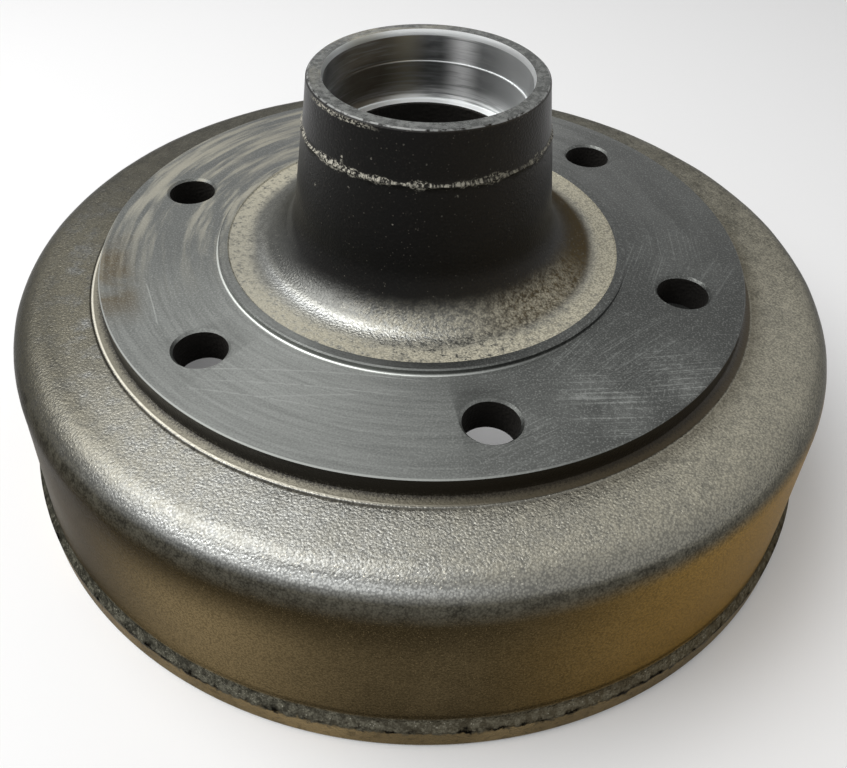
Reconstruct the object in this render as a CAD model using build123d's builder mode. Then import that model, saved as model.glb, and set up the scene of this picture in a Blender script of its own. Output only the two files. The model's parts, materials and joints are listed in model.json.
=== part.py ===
from build123d import *
import os

# Brake drum cast in one piece with its wheel hub, turned where wheel, bearings, cap and shoes sit.
# Millimetres. The drum stands on its open rim: Z = 0 is the rim, +Z is the hub axis towards the nose.

# wheel connection
DRUM_DEPTH = 88.0          # open rim to the wheel face
FLANGE_PLATE = 13.0        # thickness of the plate that the studs go through
BOLT_CIRCLE_R = 102.5
BOLT_COUNT = 6
BOLT_HOLE_R = 9.5
BOLT_HOLE_CHAMFER = 0.9
FLANGE_MARGIN = 22.5       # bolt circle to the flange's edge
SPIGOT_R = 80.0            # centres the wheel
SPIGOT_HEIGHT = 2.5
SPIGOT_LAND = 3.6          # turned ring on top of the spigot
CAST_DROP = 0.5            # the cast floor inside that ring lies this much lower

# hub nose and its bores
NOSE_LENGTH = 68.5         # wheel face to the end of the hub
NOSE_R = 42.3
NOSE_TAPER = 0.135         # growth in radius for each millimetre down the nose
NOSE_FOOT_SHARE = 0.81     # its foot fillet's radius, as a share of the cast floor's width
CAP_R = 36.5
CAP_LEAD = 0.6             # widening of the cap bore at its mouth
CAP_LEAD_DEPTH = 2.2
CAP_DEPTH = 11.9           # nose end to the outer bearing's seat
OUTER_SEAT_R = 36.0
OUTER_SEAT_LENGTH = 15.0
SHOULDER_R = 32.1          # ring that the outer bearing cup stands on
SHOULDER_LENGTH = 8.0
CHAMBER_TOP_R = 35.5       # cored space between the bearings, wider towards the open side
CHAMBER_FOOT_R = 39.0

# hub barrel inside the drum
BARREL_REACH = 34.0        # wheel face to the barrel's end
BARREL_R = 56.0
BARREL_DRAFT = 0.05
INNER_SEAT_R = 45.0
INNER_SEAT_LENGTH = 20.0
SEAL_R = 47.5
SEAL_DEPTH = 10.0

# drum shell
TRACK_R = 150.0            # friction surface
WALL_THICKNESS = 13.4      # at the foot of the wall, where the lip begins
WALL_DRAFT = 0.055
LIP_PROUD = 2.5
LIP_HEIGHT = 10.0
LIP_SHELF = 2.6            # the lip's upper side rises this much to the wall
CROWN_DROP = 8.2           # wheel face to the cast crown at the flange's foot
CROWN_SLOPE = 0.049
CROWN_ROUND = 14.2
CROWN_THICKNESS = 11.5
WEB_SLOPE = 0.04
WEB_START = 1.0            # the crown's underside begins this far outside the flange's edge
PLATE_END = 11.0           # and the plate's underside ends this far inside it
TRACK_ROOT_FILLET = 4.0

# mould step: a shallow pad round the flange, leaning because the two mould halves met a little askew
PAD_REACH = 4.3            # beyond the flange's edge
PAD_HEIGHT = 0.15          # mean height above the crown
PAD_THICKNESS = 4.0
PAD_LEAN_DEG = 0.26
PAD_LEAN_TOWARDS_DEG = -112.0

EDGE = 0.5                 # turned edges are broken by this much

nose_z = DRUM_DEPTH + NOSE_LENGTH
flange_r = BOLT_CIRCLE_R + FLANGE_MARGIN
plate_z = DRUM_DEPTH - FLANGE_PLATE
spigot_z = DRUM_DEPTH + SPIGOT_HEIGHT
land_r = SPIGOT_R - SPIGOT_LAND
cast_floor_z = spigot_z - CAST_DROP
cast_floor_r = land_r - CAST_DROP
nose_foot_r = NOSE_R + NOSE_TAPER * (nose_z - cast_floor_z)
nose_foot_fillet = NOSE_FOOT_SHARE * (cast_floor_r - nose_foot_r)

outer_seat_top = nose_z - CAP_DEPTH
outer_seat_foot = outer_seat_top - OUTER_SEAT_LENGTH
shoulder_foot = outer_seat_foot - SHOULDER_LENGTH
barrel_foot_z = DRUM_DEPTH - BARREL_REACH
inner_seat_foot = barrel_foot_z + SEAL_DEPTH
inner_seat_top = inner_seat_foot + INNER_SEAT_LENGTH
barrel_root_r = BARREL_R + BARREL_DRAFT * (plate_z - barrel_foot_z)

wall_foot_r = TRACK_R + WALL_THICKNESS
wall_foot_z = LIP_HEIGHT + LIP_SHELF
lip_r = wall_foot_r + LIP_PROUD
crown_foot_z = DRUM_DEPTH - CROWN_DROP
web_z = crown_foot_z - CROWN_THICKNESS
web_start_r = flange_r + WEB_START

# the crown line and the wall line meet at the corner that the crown's rounding replaces
crown_corner_z = (
    crown_foot_z - CROWN_SLOPE * (wall_foot_r + WALL_DRAFT * wall_foot_z - flange_r)
) / (1 - CROWN_SLOPE * WALL_DRAFT)
crown_corner_r = wall_foot_r - WALL_DRAFT * (crown_corner_z - wall_foot_z)

LIP_FOOT = (lip_r, 0)
LIP_TOP = (lip_r, LIP_HEIGHT)
WALL_FOOT = (wall_foot_r, wall_foot_z)
CROWN_CORNER = (crown_corner_r, crown_corner_z)
FLANGE_FOOT = (flange_r, crown_foot_z)
FLANGE_EDGE = (flange_r, DRUM_DEPTH)
SPIGOT_FOOT = (SPIGOT_R, DRUM_DEPTH)
SPIGOT_EDGE = (SPIGOT_R, spigot_z)
LAND_EDGE = (land_r, spigot_z)
LAND_FOOT = (cast_floor_r, cast_floor_z)
NOSE_FOOT = (nose_foot_r, cast_floor_z)
NOSE_EDGE = (NOSE_R, nose_z)
CAP_MOUTH = (CAP_R + CAP_LEAD, nose_z)
CAP_LEAD_END = (CAP_R, nose_z - CAP_LEAD_DEPTH)
CAP_FOOT = (CAP_R, outer_seat_top)
OUTER_SEAT_TOP = (OUTER_SEAT_R, outer_seat_top)
OUTER_SEAT_FOOT = (OUTER_SEAT_R, outer_seat_foot)
SHOULDER_TOP = (SHOULDER_R, outer_seat_foot)
SHOULDER_FOOT = (SHOULDER_R, shoulder_foot)
CHAMBER_TOP = (CHAMBER_TOP_R, shoulder_foot - (CHAMBER_TOP_R - SHOULDER_R))
CHAMBER_FOOT = (CHAMBER_FOOT_R, inner_seat_top)
INNER_SEAT_TOP = (INNER_SEAT_R, inner_seat_top)
INNER_SEAT_FOOT = (INNER_SEAT_R, inner_seat_foot)
SEAL_TOP = (SEAL_R, inner_seat_foot)
SEAL_MOUTH = (SEAL_R, barrel_foot_z)
BARREL_FOOT = (BARREL_R, barrel_foot_z)
BARREL_ROOT = (barrel_root_r, plate_z)
PLATE_CORNER = (flange_r - PLATE_END, plate_z)
WEB_CORNER = (web_start_r, web_z)
TRACK_ROOT = (TRACK_R, web_z - WEB_SLOPE * (TRACK_R - web_start_r))
TRACK_MOUTH = (TRACK_R, 0)

SECTION = (
    LIP_FOOT, LIP_TOP, WALL_FOOT, CROWN_CORNER, FLANGE_FOOT, FLANGE_EDGE,
    SPIGOT_FOOT, SPIGOT_EDGE, LAND_EDGE, LAND_FOOT, NOSE_FOOT, NOSE_EDGE,
    CAP_MOUTH, CAP_LEAD_END, CAP_FOOT, OUTER_SEAT_TOP, OUTER_SEAT_FOOT, SHOULDER_TOP,
    SHOULDER_FOOT, CHAMBER_TOP, CHAMBER_FOOT, INNER_SEAT_TOP, INNER_SEAT_FOOT,
    SEAL_TOP, SEAL_MOUTH, BARREL_FOOT, BARREL_ROOT, PLATE_CORNER, WEB_CORNER,
    TRACK_ROOT, TRACK_MOUTH,
)

ROUNDED = {
    CROWN_CORNER: CROWN_ROUND,
    NOSE_FOOT: nose_foot_fillet,
    TRACK_ROOT: TRACK_ROOT_FILLET,
    BARREL_ROOT: 8.0,
    FLANGE_FOOT: 3.0,
    WALL_FOOT: 3.0,
    LIP_TOP: 1.2,
    PLATE_CORNER: 5.0,
    WEB_CORNER: 6.0,
    CHAMBER_TOP: 3.0,
    BARREL_FOOT: 2.0,
}

BROKEN = {
    LIP_FOOT: 1.0,
    TRACK_MOUTH: 1.5,
    FLANGE_EDGE: EDGE,
    SPIGOT_EDGE: EDGE,
    NOSE_EDGE: 0.8,
    SEAL_MOUTH: 1.5,
    SHOULDER_TOP: EDGE,
}


def nearest(vertices, corner):
    """The one vertex of a section that stands on a named corner."""
    return vertices.sort_by_distance(corner)[0]


with BuildPart() as brake_drum:
    # half section, turned round the hub axis: X of the sketch is the radius
    with BuildSketch(Plane.XZ) as section:
        with BuildLine():
            Polyline(*SECTION, close=True)
        make_face()
        for corner, radius in ROUNDED.items():
            fillet(nearest(section.vertices(), corner), radius=radius)
        for corner, length in BROKEN.items():
            chamfer(nearest(section.vertices(), corner), length=length)
    revolve(axis=Axis.Z)

    # mould step: a disc whose axis leans, so it stands proud on one side and sinks on the other
    pad_top = Location((0, 0, crown_foot_z - CROWN_SLOPE * PAD_REACH + PAD_HEIGHT))
    lean = Rotation(0, 0, PAD_LEAN_TOWARDS_DEG) * Rotation(0, -PAD_LEAN_DEG, 0)
    with BuildSketch(Plane(pad_top * lean)):
        Circle(flange_r + PAD_REACH)
        Circle(flange_r - PAD_REACH, mode=Mode.SUBTRACT)
    extrude(amount=-PAD_THICKNESS)

    # stud holes, broken at the wheel face
    with Locations((0, 0, DRUM_DEPTH)):
        with PolarLocations(BOLT_CIRCLE_R, BOLT_COUNT):
            Hole(BOLT_HOLE_R, depth=FLANGE_PLATE + EDGE)
    mouths = brake_drum.edges().filter_by(
        lambda edge: edge.geom_type == GeomType.CIRCLE
        and abs(edge.radius - BOLT_HOLE_R) < 1e-3
        and abs(edge.center().Z - DRUM_DEPTH) < 1e-3
    )
    chamfer(mouths, length=BOLT_HOLE_CHAMFER)

brake_drum.part.label = "brake_drum"
os.makedirs("parts", exist_ok=True)
export_step(brake_drum.part, "parts/brake_drum.step")
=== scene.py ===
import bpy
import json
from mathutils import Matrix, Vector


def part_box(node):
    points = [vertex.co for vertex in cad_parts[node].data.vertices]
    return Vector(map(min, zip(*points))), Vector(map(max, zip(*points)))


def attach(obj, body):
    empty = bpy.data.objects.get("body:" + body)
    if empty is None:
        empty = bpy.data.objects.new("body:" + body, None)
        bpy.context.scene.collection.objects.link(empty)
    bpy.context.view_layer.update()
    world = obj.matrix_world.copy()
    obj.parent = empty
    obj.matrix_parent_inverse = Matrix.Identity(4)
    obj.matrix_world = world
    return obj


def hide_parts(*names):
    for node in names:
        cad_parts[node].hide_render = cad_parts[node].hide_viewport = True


bl_info = {
    "name": "Brake drum with wheel hub",
    "version": (1, 0, 0),
    "blender": (4, 5, 0),
    "location": "View3D > Sidebar > Drum",
    "description": "Makes the casting of a trailer brake drum, its foundry marks and a plain studio round it",
    "category": "Add Mesh",
}

import json
import math

import bmesh
import bpy
from bpy.props import FloatProperty, FloatVectorProperty, IntProperty, PointerProperty
from mathutils import Matrix, Vector, noise

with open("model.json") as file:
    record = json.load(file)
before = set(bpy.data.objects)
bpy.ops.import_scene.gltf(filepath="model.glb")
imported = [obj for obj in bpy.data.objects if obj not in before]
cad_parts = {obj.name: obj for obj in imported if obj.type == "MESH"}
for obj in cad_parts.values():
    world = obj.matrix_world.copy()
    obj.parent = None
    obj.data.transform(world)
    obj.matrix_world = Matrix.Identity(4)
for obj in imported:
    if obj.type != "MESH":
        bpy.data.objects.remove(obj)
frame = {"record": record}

MM = 0.001
MOUNTS = {mount["name"]: mount for mount in frame["record"]["mounts"]}
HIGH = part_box("brake_drum")[1]
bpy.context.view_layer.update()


def heading(azimuth):
    """A level direction. Azimuths are degrees round the hub axis from +x: -90 is the front, 0 the right."""
    return Vector((math.cos(math.radians(azimuth)), math.sin(math.radians(azimuth)), 0))


def mount_radius(name):
    """Radius in metres of one of the casting's round mounts."""
    return MOUNTS[name]["dims"]["r_mm"] * MM


def mount_span(name):
    """Lowest and highest point of a bore's turned wall, along the hub axis."""
    middle = MOUNTS[name]["pos_m"][2]
    half = MOUNTS[name]["dims"]["length_mm"] * MM / 2
    return middle - half, middle + half


# radii are measured from the hub axis, and heights from the open rim
AXIS = 0
RIM_Z = 0

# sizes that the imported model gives
WHEEL_FACE_Z = MOUNTS["wheel_face"]["pos_m"][2]
NOSE_Z = HIGH[2]
LIP_R = HIGH[0]
SPIGOT_R = mount_radius("wheel_spigot")
BOLT_CIRCLE_R = MOUNTS["wheel_studs"]["dims"]["pcd_mm"] * MM / 2
BOLT_COUNT = MOUNTS["wheel_studs"]["dims"]["count"]
HOLE_R = MOUNTS["wheel_studs"]["dims"]["hole_r_mm"] * MM
TRACK_R = mount_radius("friction_track")
CAP_R = mount_radius("cap_bore")
OUTER_SEAT_R = mount_radius("outer_bearing_seat")
OUTER_SEAT_FOOT, OUTER_SEAT_TOP = mount_span("outer_bearing_seat")
INNER_SEAT_R = mount_radius("inner_bearing_seat")
INNER_SEAT_FOOT, INNER_SEAT_TOP = mount_span("inner_bearing_seat")
SEAL_R = mount_radius("seal_seat")

# the rest of the section
SPIGOT_Z = WHEEL_FACE_Z + 2.5 * MM
FLANGE_R = BOLT_CIRCLE_R + 22.5 * MM
PLATE_Z = WHEEL_FACE_Z - 13 * MM
LAND_R = SPIGOT_R - 3.6 * MM
CAST_FLOOR_Z = SPIGOT_Z - 0.5 * MM
NOSE_R = 42.3 * MM
NOSE_TAPER = 0.135
CAP_LEAD = 0.6 * MM
CAP_LEAD_DEPTH = 2.2 * MM
SHOULDER_R = 32.1 * MM
SHOULDER_FOOT = OUTER_SEAT_FOOT - 8 * MM
CHAMBER_TOP_R = 35.5 * MM
CHAMBER_FOOT_R = 39 * MM
BARREL_FOOT_Z = WHEEL_FACE_Z - 34 * MM
BARREL_R = 56 * MM
BARREL_ROOT_R = BARREL_R + 0.05 * (PLATE_Z - BARREL_FOOT_Z)
WALL_FOOT_R = LIP_R - 2.5 * MM
WALL_FOOT_Z = 12.6 * MM
WALL_DRAFT = 0.055
LIP_HEIGHT = 10 * MM
CROWN_FOOT_Z = WHEEL_FACE_Z - 8.2 * MM
CROWN_SLOPE = 0.049
CROWN_ROUND = 14.2 * MM
WEB_Z = CROWN_FOOT_Z - 11.5 * MM
WEB_START_R = FLANGE_R + 1 * MM
WEB_SLOPE = 0.04
PLATE_END_R = FLANGE_R - 11 * MM
EDGE = 0.5 * MM

WALL_REACH = WALL_FOOT_R + WALL_DRAFT * WALL_FOOT_Z - FLANGE_R
CROWN_CORNER_Z = (CROWN_FOOT_Z - CROWN_SLOPE * WALL_REACH) / (1 - CROWN_SLOPE * WALL_DRAFT)
CROWN_CORNER_R = WALL_FOOT_R - WALL_DRAFT * (CROWN_CORNER_Z - WALL_FOOT_Z)

# where the two mould halves met: a step round the flange, and a fin round the nose
PAD_R = FLANGE_R + 4.3 * MM
PAD_LEAN = math.radians(0.26)
PAD_TOWARDS = math.radians(-112)
PAD_LIFT = 0.15 * MM
PAD_FOOT_R = PAD_R + 0.3 * MM
PAD_RUN = 0.5 * MM
PAD_CURVE = 0.6
FIN_Z = WHEEL_FACE_Z + 50.3 * MM
FIN_HALF = 0.8 * MM
FIN_FADE = 0.9 * MM
MOULD_SHIFT = 0.15 * MM


def crown_point(radius):
    """A corner on the crown, sharp, for the section."""
    return (radius, CROWN_FOOT_Z - CROWN_SLOPE * (radius - FLANGE_R), 0, 0)


def nose_radius(height):
    """Radius of the nose's taper at a height."""
    return NOSE_R + NOSE_TAPER * (NOSE_Z - height)


def nose_point(height, out=0):
    """A corner on the nose's taper, sharp, for the section."""
    return (nose_radius(height) + out, height, 0, 0)


NOSE_FOOT_R = nose_radius(CAST_FLOOR_Z)


# corners of the half section: radius, height, rounding radius, chamfer
SECTION = (
    (LIP_R, RIM_Z, 0, 1 * MM),
    (LIP_R, LIP_HEIGHT, 1.2 * MM, 0),
    (WALL_FOOT_R, WALL_FOOT_Z, 3 * MM, 0),
    (CROWN_CORNER_R, CROWN_CORNER_Z, CROWN_ROUND, 0),
    *(crown_point(PAD_R + rise * MM) for rise in (1.4, 0.45, 0.15, -0.1, -0.35, -0.7)),
    (FLANGE_R, CROWN_FOOT_Z, 2.6 * MM, 0),
    (FLANGE_R, WHEEL_FACE_Z, 0, EDGE),
    (SPIGOT_R, WHEEL_FACE_Z, 0.7 * MM, 0),
    (SPIGOT_R, SPIGOT_Z, 0, EDGE),
    (LAND_R, SPIGOT_Z, 0, 0),
    (LAND_R - 0.5 * MM, CAST_FLOOR_Z, 0, 0),
    (NOSE_FOOT_R, CAST_FLOOR_Z, 20 * MM, 0),
    *(nose_point(FIN_Z + rise * MM, MOULD_SHIFT) for rise in (-2.6, -1.0, -0.6, -0.3)),
    nose_point(FIN_Z),
    *(nose_point(FIN_Z + rise * MM, -MOULD_SHIFT) for rise in (0.3, 0.6, 1.0, 2.6)),
    (NOSE_R, NOSE_Z, 0, 0.8 * MM),
    (CAP_R + CAP_LEAD, NOSE_Z, 0, 0),
    (CAP_R, NOSE_Z - CAP_LEAD_DEPTH, 0, 0),
    (CAP_R, OUTER_SEAT_TOP, 0, 0),
    (OUTER_SEAT_R, OUTER_SEAT_TOP, 0, 0),
    (OUTER_SEAT_R, OUTER_SEAT_FOOT, 0, 0),
    (SHOULDER_R, OUTER_SEAT_FOOT, 0, EDGE),
    (SHOULDER_R, SHOULDER_FOOT, 0, 0),
    (CHAMBER_TOP_R, SHOULDER_FOOT - (CHAMBER_TOP_R - SHOULDER_R), 3 * MM, 0),
    (CHAMBER_FOOT_R, INNER_SEAT_TOP, 0, 0),
    (INNER_SEAT_R, INNER_SEAT_TOP, 0, 0),
    (INNER_SEAT_R, INNER_SEAT_FOOT, 0, 0),
    (SEAL_R, INNER_SEAT_FOOT, 0, 0),
    (SEAL_R, BARREL_FOOT_Z, 0, 1.5 * MM),
    (BARREL_R, BARREL_FOOT_Z, 2 * MM, 0),
    (BARREL_ROOT_R, PLATE_Z, 8 * MM, 0),
    (PLATE_END_R, PLATE_Z, 5 * MM, 0),
    (WEB_START_R, WEB_Z, 6 * MM, 0),
    (TRACK_R, WEB_Z - WEB_SLOPE * (TRACK_R - WEB_START_R), 4 * MM, 0),
    (TRACK_R, RIM_Z, 0, 1.5 * MM),
)

# how finely the section and the holes are divided, and which edges are shaded sharp
ARC_STEP = 1.6 * MM
SHARP_ANGLE = math.radians(32)
HOLE_STEPS = 64

# the broken edge of a stud hole, and how far its cutter stands out below and above
HOLE_BREAK = 0.9 * MM
CUT_BELOW = 3 * MM
CUT_ABOVE = 2 * MM

# long scratches across the wheel face, from and to, in millimetres
SCRATCHES = (
    ((-52, -97.8), (30, -75.7)), ((-45, -101.6), (24, -85.8)), ((-49, -107.3), (1, -100.3)),
    ((-25, -104.3), (9, -91)), ((-88, -62), (-70, -84)),
)

# patches of fine scuffs on the wheel face: which way they run, middle and reach in millimetres, strength
SCUFFS = (
    (26, (106, -46), 13, 0.7), (22, (84, -68), 15, 0.55), (58, (92, -40), 20, 0.35), (86, (86, 12), 13, 0.4),
    (104, (96, 28), 12, 0.35), (68, (78, -50), 16, 0.35), (50, (60, -92), 18, 0.3), (75, (112, 14), 12, 0.3),
)

# chips in the nose's varnish: azimuth in degrees, height above the wheel face and size in millimetres
CHIPS = (
    (-112, 52.6, 1.3), (-112, 54.2, 0.9), (-152, 61, 1.3), (-128, 39, 1.1), (-83, 63.5, 0.5),
    (-60, 46.5, 1.0), (-97, 57, 0.6), (-73, 57.5, 0.5), (-107, 45, 0.6), (-88, 46.8, 0.5),
    (-143, 48, 0.7), (-52, 13, 0.6), (-86, 36, 0.5), (-66, 40, 0.5),
)

# the finishes, in the order of the casting's materials, and how far apart points are on the cast ones
SKIN, TURNED, BORE, CORE = range(4)
SPACING = {SKIN: 2.6 * MM, CORE: 8 * MM}


def linear(*levels):
    """A colour as the eye reads it, 0 to 255, in the scene's linear light."""
    return tuple(((c / 255 + 0.055) / 1.055) ** 2.4 if c > 10 else c / 255 / 12.92 for c in levels)


class DrumShape(bpy.types.PropertyGroup):
    """How the casting's mesh is made."""

    steps: IntProperty(name="Steps", description="Steps of the full turn", default=384, min=24)
    unevenness: FloatProperty(
        name="Unevenness", description="How far the cast skin wanders", default=0.2 * MM, unit="LENGTH"
    )
    fin: FloatProperty(
        name="Fin", description="Height of the fin where the mould parted", default=0.7 * MM, unit="LENGTH"
    )


def colour_property(name, description, *levels):
    """A colour that the sidebar shows, given as the eye reads it."""
    return FloatVectorProperty(
        name=name, description=description, subtype="COLOR", size=3, default=linear(*levels), min=0, max=1
    )


class DrumColours(bpy.types.PropertyGroup):
    """Colours of the finishes."""

    varnish: colour_property("Varnish", "Dark dip coat on the hub nose", 12, 11, 9)
    floor: colour_property("Hub floor", "Cast floor round the nose", 118, 118, 113)
    crown: colour_property("Crown", "Grainy top of the shell", 122, 123, 121)
    # the wall's brown is partly the coat's own colour and partly a painted reflection of a brown floor
    wall: colour_property("Wall", "Brown coat on the shell's wall", 118, 103, 75)
    # a painted reflection of warm surroundings on the wall's right side, not a coat of its own
    warm_reflection: colour_property("Amber", "Warmer coat on one side of the wall", 182, 145, 77)
    lip: colour_property("Lip", "Rough band round the rim", 104, 102, 90)
    dust: colour_property("Dust", "Store dust on ledges", 170, 165, 147)
    # chalk is also the white of the painted glints and of the painted highlight on the mould step
    chalk: colour_property("Chalk", "Chips where the varnish broke off", 196, 192, 178)
    turned: colour_property("Turned iron", "Bare faces off the lathe", 124, 126, 123)
    bore: colour_property("Bore", "Fine-turned bores", 196, 198, 198)
    core: colour_property("Cored skin", "Cast skin inside and in the stud holes", 30, 28, 25)


class DrumStage(bpy.types.PropertyGroup):
    """The lamp, the surroundings and the lens."""

    box_power: FloatProperty(name="Softbox power", description="Its power", default=14.5, unit="POWER")
    box_width: FloatProperty(name="Softbox width", description="How wide it is", default=0.9, unit="LENGTH")
    box_length: FloatProperty(name="Softbox length", description="How long it is", default=1.1, unit="LENGTH")
    sky: FloatProperty(name="Sky", description="How strongly the white surroundings light", default=0.25)
    lens: FloatProperty(name="Lens", description="Focal length on a 36 mm sensor", default=36.67)


class Recipe:
    """A node material and the few words that its recipes are written in."""

    def __init__(self, name, colours):
        self.colours = colours
        self.material = bpy.data.materials.new(name)
        self.material.use_nodes = True
        self.tree = self.material.node_tree
        self.shader = self.tree.nodes["Principled BSDF"]
        self.place = self.add("TexCoord").outputs["Object"]
        x, y, self.z = self.add("SeparateXYZ", Vector=self.place).outputs
        self.flat = self.add("CombineXYZ", X=x, Y=y).outputs[0]
        self.r = self.vector("LENGTH", self.flat, value=True)

    def feed(self, socket, value):
        """Links a socket from an output, or sets it to a value."""
        if isinstance(value, bpy.types.NodeSocket):
            self.tree.links.new(value, socket)
        elif socket.type == "RGBA" and len(value) == 3:
            socket.default_value = (*value, 1)
        else:
            socket.default_value = value

    def fill(self, node, sockets):
        """Feeds a node's sockets by their names, which have underscores for spaces."""
        for name, value in sockets.items():
            self.feed(node.inputs[name.replace("_", " ")], value)
        return node

    def add(self, kind, **sockets):
        """A new shader node with its sockets fed."""
        return self.fill(self.tree.nodes.new("ShaderNode" + kind), sockets)

    def finish(self, **sockets):
        """Feeds the shader and hands over the material."""
        self.fill(self.shader, sockets)
        return self.material

    def operate(self, kind, operation, values):
        """A node that does one operation on its values."""
        node = self.add(kind)
        node.operation = operation
        for socket, value in zip(node.inputs, values):
            self.feed(socket, value)
        return node

    def math(self, operation, *values):
        """One operation on numbers."""
        return self.operate("Math", operation, values).outputs[0]

    def vector(self, operation, *values, value=False):
        """One operation on vectors; its result is a vector, or with value a number."""
        node = self.operate("VectorMath", operation, values)
        return node.outputs["Value" if value else "Vector"]

    def chain(self, operation, values):
        """One operation on many numbers, taken in turn."""
        result = values[0]
        for value in values[1:]:
            result = self.math(operation, result, value)
        return result

    def times(self, *values):
        """The product of many numbers."""
        return self.chain("MULTIPLY", values)

    def plus(self, *values):
        """The sum of many numbers."""
        return self.chain("ADD", values)

    def most(self, *values):
        """The largest of many numbers."""
        return self.chain("MAXIMUM", values)

    def rest(self, share):
        """What a share leaves of 1."""
        return self.math("SUBTRACT", 1, share)

    def step(self, value, low, high):
        """0 at low and below, 1 at high and above; or the other way round where low is the larger."""
        node = self.add("MapRange", Value=value, From_Min=min(low, high), From_Max=max(low, high))
        node.interpolation_type = "SMOOTHSTEP"
        if low > high:
            self.fill(node, {"To_Min": 1, "To_Max": 0})
        return node.outputs["Result"]

    def band(self, value, low, high, soft):
        """1 between low and high, fading over soft at both ends."""
        below_high = self.step(value, high + soft, high - soft)
        return self.times(self.step(value, low - soft, low + soft), below_high)

    def past(self, value, base, low, high):
        """A step whose ends are given in millimetres from a base."""
        return self.step(value, base + low * MM, base + high * MM)

    def strip(self, value, base, low, high, soft):
        """A band whose ends are given in millimetres from a base, and its softness in millimetres."""
        return self.band(value, base + low * MM, base + high * MM, soft * MM)

    def toward(self, azimuth, half, soft):
        """1 on the side that faces an azimuth, as far as half to either hand; all in degrees."""
        share = self.vector("DOT_PRODUCT", self.vector("NORMALIZE", self.flat), heading(azimuth), value=True)
        away = self.math("ARCCOSINE", share)
        return self.step(away, math.radians(half + soft), math.radians(max(0, half - soft)))

    def near(self, point, reach, soft):
        """1 within reach of a point, in metres."""
        return self.step(self.vector("DISTANCE", self.place, point, value=True), reach + soft, reach - soft)

    def mix(self, share, first, second):
        """Two colours or two numbers, blended; a share of 1 is all of the second."""
        kinds = [getattr(value, "type", "") for value in (first, second)]
        coloured = isinstance(first, tuple) or isinstance(second, tuple) or "RGBA" in kinds
        node = self.add("Mix")
        node.data_type = "RGBA" if coloured else "FLOAT"
        places = (0, 6, 7) if coloured else (0, 2, 3)
        for place, value in zip(places, (share, first, second)):
            self.feed(node.inputs[place], value)
        return node.outputs[2 if coloured else 0]

    def tone(self, name, share=1):
        """One of the drum's colours, made darker or lighter."""
        return tuple(min(1, share * c) for c in getattr(self.colours, name))

    def tones(self, name, dark, light, share):
        """Two tones of one colour, blended."""
        return self.mix(share, self.tone(name, dark), self.tone(name, light))

    def coat(self, under, over, *shares):
        """One colour laid over another, as strongly as its shares make together."""
        return self.mix(self.times(*shares), under, over)

    def coats(self, colour, *layers):
        """Coats laid over a colour in turn, each given as its own colour and its shares."""
        for layer in layers:
            colour = self.coat(colour, *layer)
        return colour

    def noise(self, scale, detail=2, rough=0.5, twist=0, at=None):
        """Noise from 0 to 1; scale is how many blobs there are in a metre."""
        blobs = {"Scale": scale, "Detail": detail, "Roughness": rough, "Distortion": twist}
        return self.add("TexNoise", Vector=at or self.place, **blobs).outputs[0]

    def cells(self, scale):
        """Grains: the distance from the middle of the nearest one."""
        return self.add("TexVoronoi", Vector=self.place, Scale=scale).outputs["Distance"]

    def swept(self, along, across):
        """Places for marks that run round the axis: blobs to a radian along, and to a metre across."""
        around = self.vector("MULTIPLY", self.vector("NORMALIZE", self.flat), (along, along, 0))
        height = self.times(self.plus(self.r, self.z), across)
        return self.vector("ADD", around, self.add("CombineXYZ", Z=height).outputs[0])

    def rings(self, pitch, along, detail=3):
        """Noise in rings, as a lathe tool leaves it."""
        return self.noise(1, detail, 0.6, at=self.swept(along, 1 / pitch))

    def brushed(self, azimuth, along, across):
        """Places for straight marks on the wheel face that run one way: blobs per metre along and across."""
        way = heading(azimuth)
        run = self.times(self.vector("DOT_PRODUCT", self.flat, way, value=True), along)
        side = self.times(self.vector("DOT_PRODUCT", self.flat, (-way.y, way.x, 0), value=True), across)
        return self.add("CombineXYZ", X=run, Y=side).outputs[0]

    def stroke(self, start, end, width, bend=1.2):
        """1 along a scratch on the wheel face, from and to in millimetres, that bends a little."""
        start, end = Vector(start) * MM, Vector(end) * MM
        along = (end - start).normalized()
        half = (end - start).length / 2
        from_middle = self.vector("SUBTRACT", self.flat, (*(start + end) / 2, 0))
        run = self.math("ABSOLUTE", self.vector("DOT_PRODUCT", from_middle, (*along, 0), value=True))
        side = self.vector("DOT_PRODUCT", from_middle, (-along.y, along.x, 0), value=True)
        off_line = self.math("ABSOLUTE", self.plus(side, self.times(run, run, bend)))
        return self.times(self.step(off_line, width, 0), self.step(run, half, 0.7 * half))

    def bump(self, height, depth, below=None):
        """A relief of a height from 0 to 1, over another one where there is one below."""
        node = self.add("Bump", Height=height, Distance=depth)
        if below:
            self.feed(node.inputs["Normal"], below)
        return node.outputs[0]

    def tangent(self):
        """The lathe's way round the hub axis, for brushed gloss."""
        node = self.add("Tangent")
        node.direction_type = "RADIAL"
        node.axis = "Z"
        return node.outputs[0]


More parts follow.
